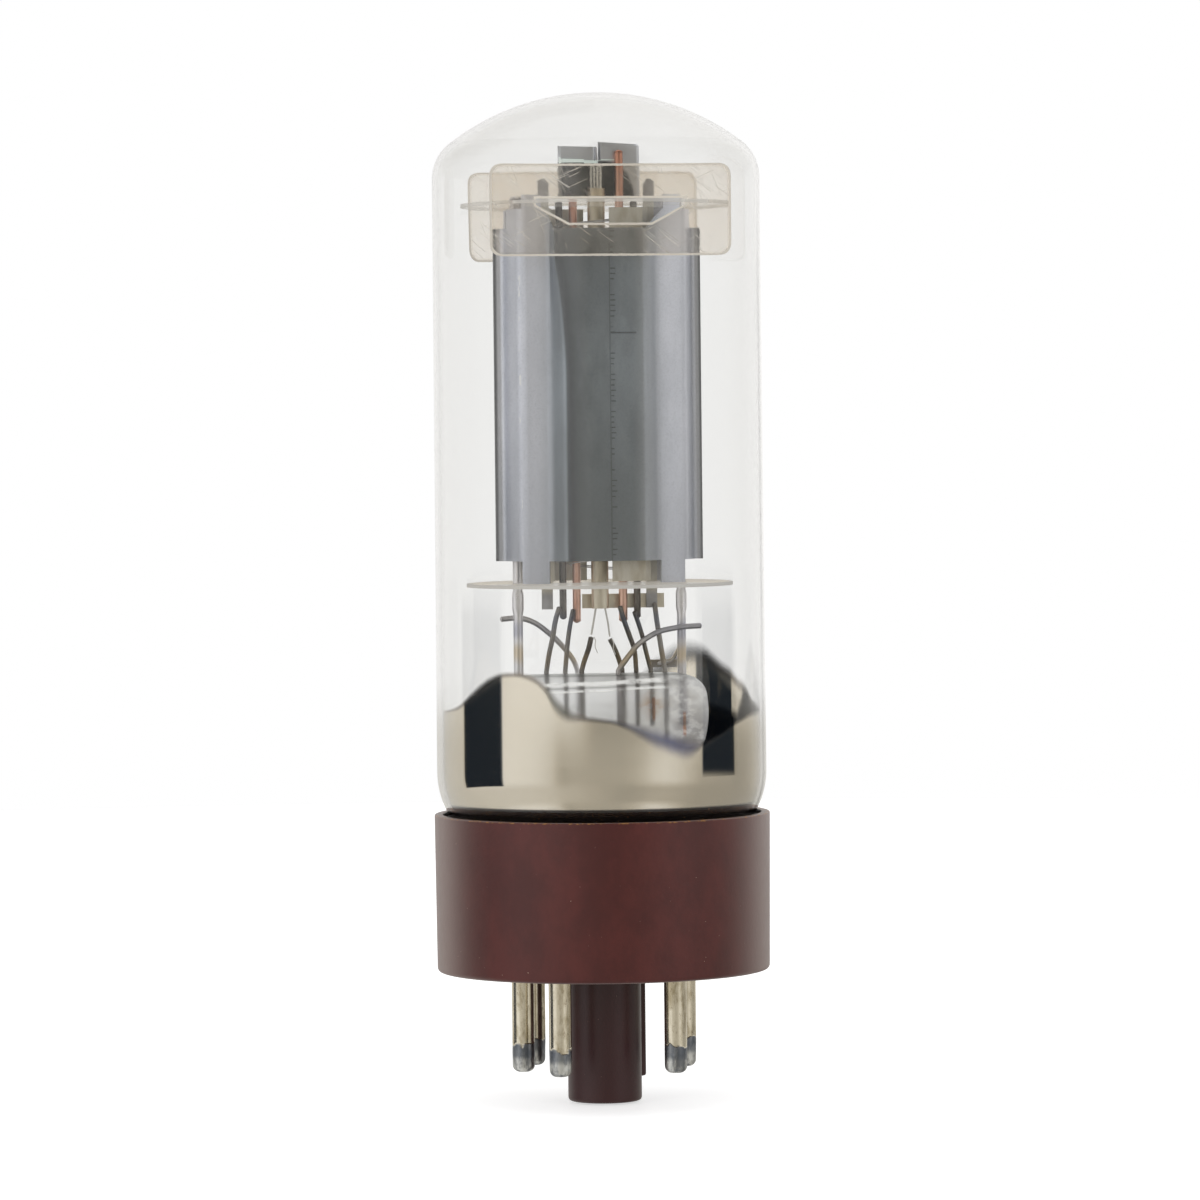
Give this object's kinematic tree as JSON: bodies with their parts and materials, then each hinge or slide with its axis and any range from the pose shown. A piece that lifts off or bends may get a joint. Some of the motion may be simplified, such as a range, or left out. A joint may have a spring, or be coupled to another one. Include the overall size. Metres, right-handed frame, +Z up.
{
  "type": "vacuum tube",
  "caption": "Beam power vacuum tube: clear glass bulb with silvered lower end around a carbonised anode cage, on a red-brown moulded octal base with contact pins and a keyed post.",
  "frame": {"origin": "on the tube's axis at the tip of the key post, the lowest point", "axes": "+Z up the tube's axis towards the dome; +X along the wide side of the electrodes; +Y through their depth, away from the picture's camera"},
  "size_m": [0.0352, 0.0352, 0.1057],
  "materials": {
    "phenolic": "satin moulded phenolic",
    "pin_metal": "satin nickel plate with dull solder at the tips",
    "glass": "clear, silvered inside at the lower end",
    "cement": "rough dark basing cement",
    "mica": "clear pinkish mica with rough pale edges",
    "anode": "blue-grey carbonised sheet",
    "nickel": "satin nickel",
    "dark_nickel": "oxidised nickel",
    "copper": "satin copper",
    "radiator": "blackened sheet",
    "white_oxide": "white coating"
  },
  "bodies": {
    "root": {"base": "phenolic", "pin_2": "pin_metal", "pin_3": "pin_metal", "pin_4": "pin_metal", "pin_5": "pin_metal", "pin_7": "pin_metal", "pin_8": "pin_metal", "glass_bulb": "glass", "glass_stem": "glass", "exhaust_tube": "glass", "cement": "cement", "bottom_mica": "mica", "top_mica": "mica", "front_spacer": "mica", "rear_spacer": "mica", "anode_front": "anode", "anode_rear": "anode", "support_rod_left": "nickel", "support_rod_right": "nickel", "control_grid_rod_left": "copper", "control_grid_rod_right": "copper", "control_grid_winding": "nickel", "screen_grid_rod_left": "dark_nickel", "screen_grid_rod_right": "dark_nickel", "screen_grid_winding": "nickel", "cathode_sleeve": "nickel", "heater": "white_oxide", "beam_plate_left": "nickel", "beam_plate_right": "nickel", "radiator_left": "radiator", "radiator_right": "radiator", "cathode_strap": "nickel", "screen_lead": "dark_nickel", "grid_lead": "dark_nickel", "heater_lead_left": "dark_nickel", "heater_lead_right": "dark_nickel", "grid_brace": "dark_nickel", "screen_brace": "dark_nickel", "cathode_lead": "dark_nickel", "anode_lead_left": "nickel", "anode_lead_right": "nickel", "getter_channel": "dark_nickel", "getter_wire": "nickel"}
  },
  "joints": []
}
